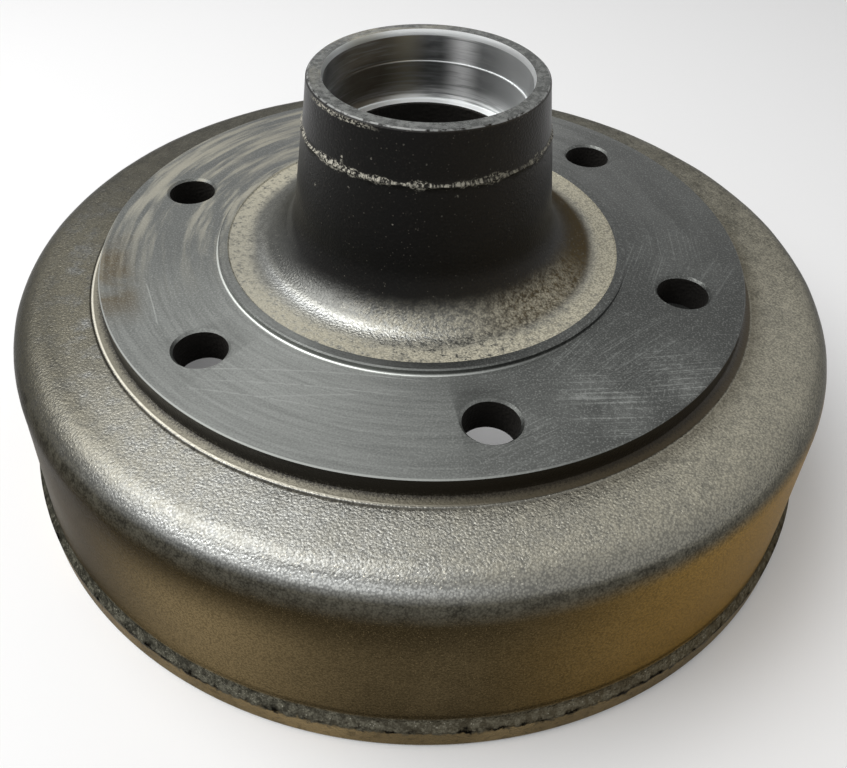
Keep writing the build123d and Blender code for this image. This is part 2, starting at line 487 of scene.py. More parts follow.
class SkinRecipe(Recipe):
    """The cast skin's patterns, and the zones of the casting that its coats lie in, as shares."""

    def __init__(self, name, colours):
        super().__init__(name, colours)
        self.sand = self.noise(1150, 2, 0.5)
        self.grit = self.noise(2400, 2, 0.5)
        self.fine_cloud = self.noise(420, 3, 0.6)
        self.cloud = self.noise(130, 4, 0.65)
        self.blotch = self.noise(24, 4, 0.6)
        self.ragged = self.noise(1, 4, 0.65, at=self.swept(48, 1900))
        self.pepper = self.step(self.cells(1400), 0.35, 0.7)
        # glint: bright points, painted glints of the lamp on single grains
        self.glint = self.times(self.step(self.cells(800), 0.22, 0.1), self.step(self.fine_cloud, 0.4, 0.6))
        self.outside = self.past(self.r, PAD_R, -0.4, 0.6)
        self.find_hub_zones()
        self.find_flange_zones()
        self.find_shell_zones()

    def find_hub_zones(self):
        """The nose, the floor round it, and the fillet between the two, with a painted highlight and painted
        shade on the fillet.
        """
        uneven = self.times(self.plus(self.cloud, self.times(self.sand, 0.7)), 3 * MM)
        lowered = self.times(self.toward(-168, 24, 20), 5 * MM)
        level = self.math("SUBTRACT", self.plus(self.z, uneven), lowered)
        self.on_nose = self.times(self.past(self.r, LAND_R, 0, -3), self.past(level, CAST_FLOOR_Z, 4, 12))
        self.on_floor = self.past(self.r, LAND_R, 1, 0)
        # painted highlight on the fillet, in front on the left
        self.fillet_highlight = self.times(self.strip(self.r, AXIS, 62, 65, 1.6), self.toward(-108, 34, 20))
        # painted shade on the fillet's inner part, above its painted highlight
        self.fillet_shade = self.times(self.strip(self.r, AXIS, 52, 61, 1.6), self.toward(-114, 46, 24))
        self.from_fin = self.math("ABSOLUTE", self.math("SUBTRACT", self.z, FIN_Z + 0.2 * MM))

    def find_flange_zones(self):
        """The flange's side, the foot under it, the mould step round that with a painted highlight on its
        edge and painted shade at its drop, and the shade beside it.
        """
        above_plate = self.step(self.z, PLATE_Z, CROWN_FOOT_Z - 2 * MM)
        foot = self.band(self.r, FLANGE_R - 1 * MM, PAD_R - 0.4 * MM, 0.4 * MM)
        self.on_foot = self.times(foot, above_plate)
        self.on_side = self.times(self.strip(self.r, FLANGE_R, -1, 0.8, 0.3), above_plate)
        self.pad_edge_highlight = self.times(self.strip(self.r, PAD_R, -1, -0.35, 0.2), self.toward(-122, 42, 24))
        self.pad_step_shade = self.times(self.strip(self.r, PAD_R, -0.1, 0.7, 0.3), self.toward(-118, 55, 25))
        self.leaning = self.toward(-126, 56, 34)
        self.foot_shade = self.times(
            self.outside, self.past(self.r, PAD_R, 9, -5), self.rest(self.leaning), above_plate
        )

    def find_shell_zones(self):
        """The crown's rounding with its painted highlight and the painted shade under it, the wall with
        painted shade over the lip, and the lip round the rim.
        """
        corner = CROWN_CORNER_Z
        uneven = self.plus(self.z, self.times(self.math("SUBTRACT", self.fine_cloud, 0.5), 5 * MM))
        # painted highlights on the crown's rounding, in front
        self.round_highlight = self.outer(self.toward(-85, 32, 22), self.strip(self.z, corner, -2.9, 0.5, 0.9))
        self.low_round_highlight = self.outer(self.toward(-88, 16, 14), self.strip(self.z, corner, -3.6, -1.7, 0.7))
        self.under_round_shade = self.outer(self.toward(-88, 62, 25), self.past(self.z, corner, -3.8, -6))
        self.on_wall = self.outer(self.past(self.z, corner, -6, -14))
        self.on_lip = self.outer(self.past(self.z, WALL_FOOT_Z, 2, 0.4))
        # painted shade just above the lip, at the wall's foot
        self.over_lip_shade = self.outer(self.strip(self.z, WALL_FOOT_Z, 1.2, 3.6, 0.8))
        self.lip_side = self.outer(self.past(uneven, LIP_HEIGHT, -0.4, -2.2))
        self.lip_ditch = self.outer(
            self.strip(uneven, LIP_HEIGHT, -1.3, 0.1, 0.6), self.step(self.cloud, 0.45, 0.6)
        )

    def outer(self, *shares):
        """A zone that lies outside the mould step."""
        return self.times(self.outside, *shares)


def crown_coat(n):
    """The crown's grey: painted light in front, browner on both sides, dark behind and in patches."""
    patches = n.times(n.step(n.blotch, 0.52, 0.68), n.step(n.cloud, 0.35, 0.6))
    return n.coats(
        n.tones("crown", 0.85, 1.1, n.step(n.fine_cloud, 0.3, 0.7)),
        # painted light on the front of the crown
        (n.tone("crown", 1.5), n.toward(-100, 38, 30), n.past(n.r, AXIS, 155, 146)),
        (n.tone("dust", 0.36), n.toward(-154, 36, 26), n.step(n.cloud, 0.25, 0.55)),
        (n.tone("dust", 0.55), n.toward(-5, 60, 45), 0.8),
        (n.tone("dust", 0.18), n.toward(100, 85, 18), 0.85),
        (n.tone("crown", 0.4), patches, 0.45),
    )


def hub_floor_coat(n):
    """The floor round the nose: grey, lighter in front, with brown painted shade beside the nose on the
    right.
    """
    return n.coats(
        n.tones("floor", 0.9, 1.15, n.step(n.fine_cloud, 0.3, 0.7)),
        (n.tone("floor", 1.7), n.toward(-104, 24, 20)),
        # painted shade beside the nose on the right
        (n.tone("wall", 0.3), n.toward(10, 62, 20), n.past(n.r, AXIS, 69, 64)),
    )


def rounding_coats(n, colour):
    """Painted highlights on the crown's rounding and on the hub's fillet, with painted shade beside them, and
    dull brown over the rounding on the left.
    """
    before_round_shade = n.outer(n.strip(n.r, AXIS, 149, 154.5, 2), n.toward(-92, 34, 25))
    on_left = n.outer(n.toward(-140, 22, 16), n.past(n.z, CROWN_CORNER_Z, 1.2, -0.6), 0.9)
    before_left = n.outer(n.toward(-134, 20, 14), n.past(n.r, AXIS, 138, 146), 0.8)
    # colour of the painted highlight on the rounding, duller and dustier on the right
    rubbed = n.coat(n.tone("crown", 1.2), n.tone("dust", 0.55), n.toward(-45, 22, 15), 0.7)
    return n.coats(
        colour,
        (n.tone("crown", 0.8), before_round_shade, 0.6),
        (rubbed, n.round_highlight),
        (n.tone("crown", 3), n.low_round_highlight, 0.9),
        (n.tone("crown", 1.6), n.fillet_highlight),
        (n.tone("crown", 0.3), n.fillet_shade, 0.8),
        (n.tone("dust", 0.23), n.most(on_left, before_left)),
    )


def grain_coats(n, colour):
    """Dark pits, and painted glints over crown and hub floor that gather on the rounding's painted highlight.
    """
    colour = n.coat(colour, n.tone("crown", 0.25), n.pepper, n.mix(n.on_floor, 0.5, 0.35))
    return n.coat(colour, n.tone("chalk", 1.3), n.glint, n.most(n.round_highlight, 0.2))


def shaded_coat(n):
    """Painted shade, patchy and dark, right under the crown's rounding."""
    patchy = n.plus(n.times(n.plus(n.fine_cloud, n.cloud), 0.5), n.times(n.pepper, 0.12))
    return n.tones("dust", 0.26, 0.06, n.step(patchy, 0.3, 0.8))


def wall_coat(n):
    """The wall's brown, with painted reflections: a light strip in front, warm on the right and dark under
    the crown in front; painted shade over the lip.
    """
    specks = n.most(n.step(n.cells(640), 0.15, 0.06), n.times(n.pepper, 0.6))
    return n.coats(
        n.tones("wall", 0.36, 0.56, n.step(n.blotch, 0.3, 0.7)),
        # painted reflection, a light strip in front
        (n.tone("wall", 1.35), n.toward(-99, 9, 13)),
        # painted warm reflection on the right
        (n.tone("warm_reflection"), n.toward(-20, 22, 28)),
        # painted reflection, darker toward the top in front on the left
        (n.tone("wall", 0.22), n.toward(-104, 46, 20), n.past(n.z, RIM_Z, 44, 68)),
        # painted shade at the wall's foot, just over the lip
        (n.tone("wall", 0.15), n.over_lip_shade, n.toward(-50, 50, 30), 0.6),
        (n.tone("wall", 0.1), specks, 0.6),
        (n.tone("wall", 1.5), n.step(n.grit, 0.55, 0.75), 0.4),
    )


def lip_coat(n):
    """The rough top of the lip: grey scale with dark pits and painted glints, browner on the right."""
    return n.coats(
        n.tones("lip", 0.4, 0.95, n.step(n.fine_cloud, 0.4, 0.6)),
        (n.tone("lip", 0.15), n.step(n.cloud, 0.45, 0.65), 0.5),
        (n.tone("lip", 0.1), n.pepper, 0.4),
        (n.tone("chalk"), n.glint, n.past(n.z, LIP_HEIGHT, 0.5, 1.2), 0.5),
        (n.tone("wall", 0.4), n.toward(-20, 50, 30), 0.5),
    )


def lip_side_coat(n):
    """The lip's outer side: the wall's brown, lighter in blotches and dark in spots."""
    brown = n.tones("wall", 1, 1.6, n.step(n.blotch, 0.35, 0.65))
    return n.coat(brown, n.tone("wall", 0.35), n.step(n.fine_cloud, 0.5, 0.7), 0.5)


def foot_coat(n):
    """The flange's side and foot: dark brown, and gritty with dust toward the foot on the left."""
    down_side = n.step(n.z, WHEEL_FACE_Z - 2 * MM, CROWN_FOOT_Z + 1 * MM)
    to_foot = n.times(n.plus(down_side, n.step(n.r, FLANGE_R, PAD_R - 1 * MM)), 0.5)
    gritty = n.math("SUBTRACT", n.plus(n.sand, n.grit), 1)
    settled = n.plus(to_foot, n.times(gritty, 0.6))
    plain = n.tones("wall", 0.12, 0.3, n.step(settled, 0.5, 1))
    dusted = n.mix(n.step(settled, 0.4, 1), n.tone("varnish", 6), n.tone("dust", 0.55))
    return n.mix(n.leaning, plain, dusted)


def nose_coat(n):
    """The nose's black varnish, browner on the right, with pits, grey sand and painted glints."""
    return n.coats(
        n.mix(n.toward(-32, 25, 30), n.tone("varnish"), n.tone("wall", 0.08)),
        (n.tone("varnish", 0.4), n.pepper, 0.4),
        (n.tone("varnish", 4.5), n.step(n.sand, 0.52, 0.7), n.step(n.cloud, 0.3, 0.6), 0.5),
        # painted glints
        (n.tone("varnish", 30), n.step(n.cells(600), 0.2, 0.06), n.step(n.fine_cloud, 0.42, 0.6), 0.7),
    )


def fin_chips(n):
    """Chips along the mould fin: a ragged strip that widens and narrows, and a thin line in it."""
    drift = n.noise(1, 2, 0.5, at=n.swept(5, 0))
    reach = n.times(n.plus(n.most(n.step(drift, 0.35, 0.65), n.toward(-165, 14, 6)), 0.3), 1.6 * MM)
    wide = n.times(n.step(n.math("DIVIDE", n.from_fin, reach), 1.1, 0.5), n.step(n.ragged, 0.47, 0.54))
    thin = n.times(n.past(n.from_fin, 0, 0.4, 0.2), n.step(n.ragged, 0.38, 0.5), 0.7)
    return n.most(wide, thin)


def rim_chips(n):
    """Chips along the nose's outer rim, in front on the left."""
    uneven = n.plus(n.z, n.times(n.ragged, 2 * MM))
    return n.times(
        n.strip(uneven, NOSE_Z, -1.2, 0.2, 0.3), n.toward(-118, 18, 8), n.step(n.ragged, 0.45, 0.55)
    )


def single_chips(n):
    """Chips that stand alone on the nose's side."""
    chips = []
    crumbled = n.step(n.sand, 0.4, 0.55)
    for azimuth, height, size in CHIPS:
        z = WHEEL_FACE_Z + height * MM
        point = heading(azimuth) * nose_radius(z) + Vector((0, 0, z))
        chips.append(n.times(n.near(point, 0.5 * size * MM, 0.4 * size * MM), crumbled))
    return n.most(*chips)


def chalk_coat(n):
    """What shows in a chip: chalky, darker in its ragged parts and browner on the right."""
    pale = n.mix(n.toward(-35, 25, 20), n.tone("chalk"), n.tone("dust", 0.85))
    return n.mix(n.step(n.ragged, 0.44, 0.62), n.tone("chalk", 0.2), pale)


def settled_dust(n):
    """Where dust lies: on the crown, on the ledge round the hub floor, and loose on that floor."""
    sandy = n.plus(n.fine_cloud, n.sand)
    drifted = n.plus(n.times(n.cloud, 0.45), n.times(n.sand, 0.55), n.times(n.fine_cloud, 0.25))
    sides = n.most(n.mix(n.toward(-10, 60, 50), 0.12, 0.65), n.times(n.toward(-108, 20, 18), 0.36))
    on_crown = n.outer(n.past(n.z, CROWN_CORNER_Z, -3, 0.5), n.step(drifted, 0.4, 0.85), sides)
    thick_side = n.times(n.toward(20, 60, 25), n.step(n.fine_cloud, 0.15, 0.5), 0.85)
    wavy = n.plus(n.r, n.times(n.math("SUBTRACT", n.blotch, 0.5), 8 * MM))
    on_ledge = n.times(
        n.strip(wavy, LAND_R, -8.5, 4, 3), n.on_floor, n.mix(n.toward(-150, 30, 30), 0.85, 0.45),
        n.most(n.step(sandy, 0.6, 1.1), thick_side),
    )
    loose = n.times(n.on_floor, n.step(sandy, 0.75, 1.3), n.toward(-50, 40, 20), 0.5)
    kept_off = n.most(n.on_side, n.on_nose, n.times(n.foot_shade, 0.9))
    return n.times(n.most(on_crown, on_ledge, loose), n.rest(kept_off))


def dust_coat(n):
    """The dust's colour, with dark grains in it; on the hub floor it is lighter, most on the right, as
    painted light where the nose shades the floor.
    """
    # painted light: the floor's dust made lighter against the nose's shadow
    on_floor = n.mix(n.toward(10, 60, 40), n.tone("dust", 1.3), n.tone("dust", 1.7))
    pale = n.mix(n.on_floor, n.tone("dust", 1.1), on_floor)
    return n.coat(pale, n.tone("dust", 0.55), n.pepper, n.toward(-20, 80, 30), 0.6)


def skin_relief(n):
    """Sand and grains, deep on the lip and shallow where the skin is smooth, and the fin's ragged edge."""
    depth = n.mix(n.toward(-118, 50, 30), 0.6, 0.36)
    fillet_height = n.past(n.z, CAST_FLOOR_Z, 3, 9)
    for where, share in (
        (n.on_floor, 0.3), (n.most(n.round_highlight, n.fillet_highlight), 0.28), (n.on_wall, 0.3),
        (n.times(n.on_floor, fillet_height), 0.2), (n.on_lip, 0.8), (n.most(n.pad_edge_highlight, n.on_foot), 0.2),
    ):
        depth = n.mix(where, depth, share)
    grains = n.plus(n.sand, n.times(n.rest(n.cells(1100)), 0.25))
    fin_edge = n.times(n.ragged, n.past(n.from_fin, 0, 1.2, 0.3))
    return n.bump(n.times(grains, depth), 0.6 * MM, n.bump(fin_edge, 0.3 * MM))


def skin_finish(colours):
    """The cast skin: grey crown and hub floor, brown wall, rough lip, black nose, chips and dust, with
    painted highlights, glints, shade and reflections.
    """
    n = SkinRecipe("varnished_casting", colours)
    dust = settled_dust(n)
    chalk = n.times(n.most(fin_chips(n), single_chips(n), rim_chips(n)), n.past(n.z, WHEEL_FACE_Z, 8, 10))
    rubbed = n.times(n.on_nose, n.past(n.z, NOSE_Z, -0.5, -0.3), n.step(n.fine_cloud, 0.35, 0.55))
    colour = n.mix(n.on_floor, crown_coat(n), hub_floor_coat(n))
    colour = n.coats(
        grain_coats(n, rounding_coats(n, colour)),
        (shaded_coat(n), n.under_round_shade),
        (wall_coat(n), n.on_wall),
        (lip_coat(n), n.on_lip),
        (lip_side_coat(n), n.lip_side),
        (n.tone("varnish"), n.lip_ditch),
        (foot_coat(n), n.most(n.on_foot, n.on_side)),
        (n.tone("wall", 0.25), n.foot_shade, 0.7),
        # painted highlight along the mould step's edge
        (n.tone("chalk", 1.6), n.pad_edge_highlight, 0.9),
        # painted shade at the mould step's drop
        (n.tone("varnish", 6), n.pad_step_shade, 0.9),
        (nose_coat(n), n.on_nose),
        (chalk_coat(n), chalk),
        (n.tone("crown", 1.3), rubbed),
        (dust_coat(n), dust),
    )
    rough = n.mix(n.most(n.on_nose, n.on_wall), n.mix(n.fillet_highlight, 0.3, 0.24), 0.36)
    rough = n.mix(n.most(dust, chalk), rough, 0.85)
    coated = n.times(n.most(n.on_nose, n.on_side, n.on_foot), 0.8)
    return n.finish(
        Base_Color=colour, Roughness=rough, Metallic=n.rest(n.most(n.times(dust, 0.9), chalk, coated)),
        Specular_IOR_Level=0.32, Specular_Tint=(0.46, 0.46, 0.46), Normal=skin_relief(n),
    )


class TurnedRecipe(Recipe):
    """The patterns of turned iron: rings in two widths, stains and mottling."""

    def __init__(self, name, colours):
        super().__init__(name, colours)
        self.cut = self.rings(1.6 * MM, 3)
        self.wide = self.rings(8 * MM, 1.5)
        self.stain = self.noise(34, 4, 0.62, 0.4)
        self.mottle = self.noise(420, 3, 0.7)


def lathe_coat(n):
    """Bare iron in rings, with painted shade on all sides but the front, patchy on the right, and an oily
    smear on the left.
    """
    uneven = n.step(n.plus(n.noise(14, 3, 0.55), n.times(n.cut, 0.3)), 0.4, 0.62)
    smear = n.times(n.toward(-148, 11, 6), n.past(n.r, AXIS, 108, 116), n.step(n.stain, 0.3, 0.55))
    return n.coats(
        n.tones("turned", 0.8, 1.15, n.step(n.cut, 0.3, 0.7)),
        (n.tone("turned", 0.7), n.step(n.wide, 0.45, 0.7), 0.2),
        # painted shade on the right, the back and the front-right
        (n.tone("turned", 0.34), n.toward(8, 66, 30), 0.85),
        (n.tone("turned", 0.3), n.toward(10, 72, 34), uneven, 0.6),
        (n.tone("turned", 0.25), n.toward(55, 60, 25), n.step(n.wide, 0.45, 0.6), 0.6),
        (n.tone("turned", 0.46), n.toward(165, 62, 32), 0.9),
        (n.tone("turned", 0.16), n.toward(-16, 38, 22), 0.6),
        (n.tone("wall", 0.4), smear, 0.85),
    )


def mottled_coats(n, colour):
    """Light and dark grains in two sizes, and painted light in front."""
    tiny = n.noise(1500, 2, 0.5)
    return n.coats(
        colour,
        (n.tone("turned", 1.5), n.step(n.mottle, 0.55, 0.75), 0.25),
        (n.tone("turned", 0.5), n.step(n.mottle, 0.45, 0.25), 0.3),
        (n.tone("turned", 1.5), n.step(tiny, 0.5, 0.68), 0.3),
        (n.tone("turned", 0.4), n.step(tiny, 0.5, 0.32), 0.3),
        (n.tone("turned", 1.45), n.toward(-96, 18, 18), 0.2),
    )


def handling_marks(n):
    """Fine marks all over the wheel face, patches of scuffs, and long scratches."""
    drawn = n.noise(1, 4, 0.7, at=n.brushed(20, 30, 1500))
    marks = [n.times(n.step(drawn, 0.58, 0.72), n.step(n.stain, 0.4, 0.6), 0.25)]
    for azimuth, point, reach, strength in SCUFFS:
        middle = (*(MM * place for place in point), WHEEL_FACE_Z)
        patch = n.near(middle, reach * MM, 0.6 * reach * MM)
        brushed = n.noise(1, 2, 0.75, at=n.brushed(azimuth, 13, 1300))
        rubbed = n.plus(n.times(n.step(brushed, 0.5, 0.68), 0.7), n.times(n.step(n.stain, 0.4, 0.7), 0.3))
        marks.append(n.times(rubbed, patch, n.step(n.mottle, 0.2, 0.6), strength))
    for start, end in SCRATCHES:
        marks.append(n.times(n.stroke(start, end, 0.45 * MM), n.step(n.mottle, 0.3, 0.5), 0.5))
    return n.most(*marks)


def rim_coats(n, colour, on_rim, nicked):
    """The nose's end: mottled, dark in its nicks and bright along its outer edge."""
    outer_edge = n.times(n.past(n.r, NOSE_R, -0.9, -0.5), n.step(n.stain, 0.3, 0.5))
    return n.coats(
        colour,
        (n.tones("turned", 0.4, 0.95, n.step(n.mottle, 0.35, 0.65)), on_rim, 0.7),
        (n.tone("turned", 0.25), nicked, 0.75),
        (n.tone("turned", 1.6), on_rim, outer_edge, 0.7),
    )


def turned_finish(colours):
    """Bare faces with the rings of the lathe tool, oily stains and handling marks, painted shade, and painted
    highlights on the edges.
    """
    n = TurnedRecipe("turned_iron", colours)
    marks = handling_marks(n)
    on_rim = n.past(n.z, NOSE_Z, -1.2, -0.5)
    nicked = n.times(on_rim, n.step(n.noise(520, 4, 0.7), 0.46, 0.56))
    # painted highlights on the flange's and the spigot's edges, on the lamp's side
    edges = n.most(n.times(n.past(n.r, FLANGE_R, -0.6, -0.35), 0.8), n.strip(n.r, SPIGOT_R, 0.1, 0.9, 0.2))
    dusty = n.times(n.toward(150, 50, 30), n.step(n.rings(4 * MM, 2.5), 0.42, 0.65), 0.5)

    colour = mottled_coats(n, lathe_coat(n))
    colour = n.coat(colour, n.tone("turned", 1.6), marks)
    colour = rim_coats(n, colour, on_rim, nicked)
    colour = n.coat(colour, n.tone("turned", 2.4), edges, n.toward(-115, 50, 40))
    colour = n.coat(colour, n.tone("dust"), dusty)

    rough = n.mix(n.most(dusty, n.times(marks, 0.5)), n.mix(n.stain, 0.3, 0.5), 0.7)
    height = n.plus(n.rings(0.4 * MM, 4), n.cut, n.times(nicked, -4))
    return n.finish(
        Base_Color=colour, Metallic=n.rest(n.times(dusty, 0.7)), Roughness=rough,
        Anisotropic=0.5, Tangent=n.tangent(), Normal=n.bump(height, 0.03 * MM),
    )


def bore_finish(colours):
    """Fine-turned bores in rings, with painted reflections, light on one side and brown on another, and
    painted highlights on the steps between seats.
    """
    n = Recipe("bright_bore", colours)
    rings = n.rings(1.1 * MM, 1.5, 4)
    below = n.past(n.z, OUTER_SEAT_FOOT, 9, 0)
    lead_in = n.past(n.z, NOSE_Z - CAP_LEAD_DEPTH, -0.1, 0.2)
    under_seat = n.step(n.z, SHOULDER_FOOT, OUTER_SEAT_FOOT - 1 * MM)
    shoulder = n.times(n.past(n.z, OUTER_SEAT_FOOT, 0.5, 0.2), under_seat)
    seat_edge_highlight = n.times(n.strip(n.z, OUTER_SEAT_TOP, -0.25, 0.1, 0.1), n.toward(60, 60, 40))

    colour = n.coats(
        # painted reflections: light and brown by side, and lighter below the seat
        n.tones("bore", 0.24, 0.4, n.step(n.rings(3 * MM, 3), 0.35, 0.65)),
        (n.tone("dust", 1.2), n.toward(122, 5, 11), 0.8),
        (n.tone("wall", 0.75), n.toward(146, 26, 18), 0.7),
        (n.tone("bore"), n.toward(40, 28, 20), 0.8),
        (n.tone("bore", 2), n.toward(86, 3, 11), n.step(rings, 0.2, 0.55)),
        (n.tone("bore", 0.8), n.step(rings, 0.5, 0.68), 0.3),
        (n.tone("bore", 1.8), below, n.toward(80, 50, 25), n.step(rings, 0.3, 0.6), 0.8),
        # painted highlights on the lead-in, the shoulder and the seat's edge
        (n.tone("bore", 1.75), n.most(lead_in, shoulder, seat_edge_highlight)),
        (n.tone("dust", 0.9), lead_in, n.toward(148, 14, 12), 0.7),
    )
    return n.finish(
        Base_Color=colour, Metallic=n.mix(n.most(n.toward(84, 8, 12), below), 0.55, 0.35), Roughness=0.32,
        Anisotropic=0.7, Tangent=n.tangent(), Normal=n.bump(n.rings(0.35 * MM, 2), 0.012 * MM),
    )


def core_finish(colours):
    """Cast skin inside and in the stud holes: dull, dark and sandy."""
    n = Recipe("cored_skin", colours)
    return n.finish(
        Base_Color=n.tones("core", 0.6, 1.4, n.noise(60, 4)),
        Roughness=0.75, Specular_IOR_Level=0.2, Normal=n.bump(n.cells(800), 0.3 * MM),
    )


def zone(radius, height):
    """Which finish a face of the casting has, from where it lies in the half section."""
    hair = 0.1 * MM
    in_nose_bore = radius < CAP_R + CAP_LEAD + hair and height > OUTER_SEAT_FOOT - hair
    in_barrel_bore = (
        INNER_SEAT_R - 5 * MM < radius < SEAL_R + 2 * MM
        and BARREL_FOOT_Z - EDGE < height < INNER_SEAT_TOP + EDGE / 2
    )
    on_open_rim = height < RIM_Z + 1.6 * MM
    on_track = TRACK_R - 2 * hair < radius < TRACK_R + hair and height < WEB_Z - 5 * MM
    inside_shell = radius < TRACK_R + hair and height < PLATE_Z + 1 * MM
    in_chamber = radius < CHAMBER_FOOT_R + 1 * MM and height < OUTER_SEAT_FOOT
    on_nose_end = height > NOSE_Z - hair
    on_wheel_face = (
        LAND_R - hair < radius < FLANGE_R - EDGE / 4
        and WHEEL_FACE_Z - 0.6 * MM < height < SPIGOT_Z + EDGE
    )
    near_hole = abs(radius - BOLT_CIRCLE_R) < HOLE_R + 2 * MM
    in_stud_hole = near_hole and PLATE_Z < height < WHEEL_FACE_Z - 0.8 * MM
    if in_nose_bore or in_barrel_bore:
        return BORE
    if on_open_rim or on_track:
        return TURNED
    if inside_shell or in_chamber:
        return CORE
    if on_nose_end or on_wheel_face:
        return TURNED
    return CORE if in_stud_hole else SKIN


def draw_section(bm):
    """The half section as a closed wire, its corners rounded or broken."""
    corners = [bm.verts.new((radius, 0, height)) for radius, height, _, _ in SECTION]
    for first, second in zip(corners, corners[1:] + corners[:1]):
        bm.edges.new((first, second))
    for corner, (_, _, rounding, chamfer) in zip(corners, SECTION):
        if not rounding and not chamfer:
            continue
        first, second = (edge.other_vert(corner).co - corner.co for edge in corner.link_edges)
        half = first.angle(second) / 2
        arc_steps = round(rounding * (math.pi - 2 * half) / ARC_STEP)
        steps = 1 if chamfer else max(3, min(14, arc_steps))
        bmesh.ops.bevel(
            bm, geom=[corner], offset=chamfer or rounding / math.tan(half), offset_type="OFFSET",
            affect="VERTICES", segments=steps, profile=0.5, material=-1,
        )


def divide_section(bm):
    """Cast stretches get points every few millimetres, so that the skin can wander."""
    for edge in list(bm.edges):
        middle = (edge.verts[0].co + edge.verts[1].co) / 2
        spacing = SPACING.get(zone(middle.x, middle.z))
        if spacing and edge.calc_length() > spacing:
            bmesh.ops.subdivide_edges(bm, edges=[edge], cuts=int(edge.calc_length() / spacing))


def spun_casting(steps):
    """The half section spun round the hub axis, as a mesh."""
    bm = bmesh.new()
    draw_section(bm)
    divide_section(bm)
    bmesh.ops.spin(
        bm, geom=bm.verts[:] + bm.edges[:], cent=(0, 0, 0), axis=(0, 0, 1), dvec=(0, 0, 0),
        angle=math.tau, steps=steps, use_merge=True,
    )
    bmesh.ops.recalc_face_normals(bm, faces=bm.faces)
    return made_mesh(bm, "drum_casting")


def made_mesh(bm, name):
    """A finished bmesh as a mesh with a name."""
    mesh = bpy.data.meshes.new(name)
    bm.to_mesh(mesh)
    bm.free()
    return mesh


def raise_faces(bm, faces, rise, space=None, growth=1):
    """Draws faces upward, wider where a growth is given, and hands over the faces at the new height."""
    grown = bmesh.ops.extrude_face_region(bm, geom=faces)["geom"]
    verts = [item for item in grown if isinstance(item, bmesh.types.BMVert)]
    bmesh.ops.delete(bm, geom=faces, context="FACES_ONLY")
    bmesh.ops.translate(bm, verts=verts, vec=(0, 0, rise))
    if space:
        bmesh.ops.scale(bm, verts=verts, vec=(growth, growth, 1), space=space)
    return [item for item in grown if isinstance(item, bmesh.types.BMFace)]


def hole_cutter():
    """The stud holes with their broken edges, as one mesh to cut with that stands out at both ends."""
    bm = bmesh.new()
    foot = PLATE_Z - CUT_BELOW
    neck = WHEEL_FACE_Z - HOLE_BREAK
    out = Matrix.Translation((BOLT_CIRCLE_R, 0, 0))
    for turn in range(BOLT_COUNT):
        place = Matrix.Rotation(math.tau * turn / BOLT_COUNT, 4, "Z") @ out
        made = bmesh.ops.create_cone(
            bm, cap_ends=True, segments=HOLE_STEPS, radius1=HOLE_R, radius2=HOLE_R, depth=neck - foot,
            matrix=place @ Matrix.Translation((0, 0, (neck + foot) / 2)),
        )
        sides = {face for vert in made["verts"] for face in vert.link_faces}
        top = [face for face in sides if face.normal.z > 0.9]
        growth = (HOLE_R + HOLE_BREAK) / HOLE_R
        top = raise_faces(bm, top, HOLE_BREAK, Matrix.Translation(-place.to_translation()), growth)
        raise_faces(bm, top, CUT_ABOVE)
    bmesh.ops.recalc_face_normals(bm, faces=bm.faces)
    return bpy.data.objects.new("stud_holes", made_mesh(bm, "stud_holes"))


def drill(context, casting):
    """Cuts the stud holes out of the casting."""
    cutter = hole_cutter()
    context.collection.objects.link(cutter)
    cut = casting.modifiers.new("drill", "BOOLEAN")
    cut.operation = "DIFFERENCE"
    cut.solver = "EXACT"
    cut.object = cutter
    context.view_layer.update()
    drilled = bpy.data.meshes.new_from_object(casting.evaluated_get(context.evaluated_depsgraph_get()))
    casting.modifiers.clear()
    casting.data = drilled
    drilled.name = "drum_casting"
    bpy.data.objects.remove(cutter)


def wander(place):
    """How far the cast skin stands out or in at a place, from -1 to 1."""
    return 0.75 * noise.noise(place * 45) + 0.25 * noise.noise(place * 160)


def pad_lift(radius, azimuth):
    """How much the mould step lifts the foot round the flange, most on the side where the half leant up."""
    lean = PAD_LIFT + PAD_R * math.tan(PAD_LEAN) * math.cos(azimuth - PAD_TOWARDS)
    inside = min(1, max(0, (PAD_FOOT_R - radius) / PAD_RUN))
    return max(0, lean) * inside ** PAD_CURVE


def fin_height(out, height, from_fin):
    """How high the fin stands at a place on the nose, as a share; it comes and goes and tapers off."""
    ragged = 0.45 + 0.9 * noise.noise(out * 6) + 0.7 * noise.noise(out * 31 + Vector((0, 0, height * 900)))
    return max(0, ragged) * (1 - from_fin / FIN_FADE)


def uneven_skin(bm, shape):
    """Moves the cast skin: gentle unevenness, the step round the flange and the fin round the nose."""
    moves = []
    for vert in bm.verts:
        if any(face.material_index not in (SKIN, CORE) for face in vert.link_faces):
            continue
        radius = math.hypot(vert.co.x, vert.co.y)
        move = vert.normal * wander(vert.co) * shape.unevenness
        if FLANGE_R + 1.2 * MM < radius < PAD_FOOT_R and WEB_Z + 2 * MM < vert.co.z:
            move.z += pad_lift(radius, math.atan2(vert.co.y, vert.co.x))
        from_fin = abs(vert.co.z - FIN_Z)
        if radius < NOSE_FOOT_R and from_fin < FIN_HALF:
            out = Vector((vert.co.x, vert.co.y, 0)).normalized()
            move += out * shape.fin * fin_height(out, vert.co.z, from_fin)
        moves.append((vert, move))
    for vert, move in moves:
        vert.co += move


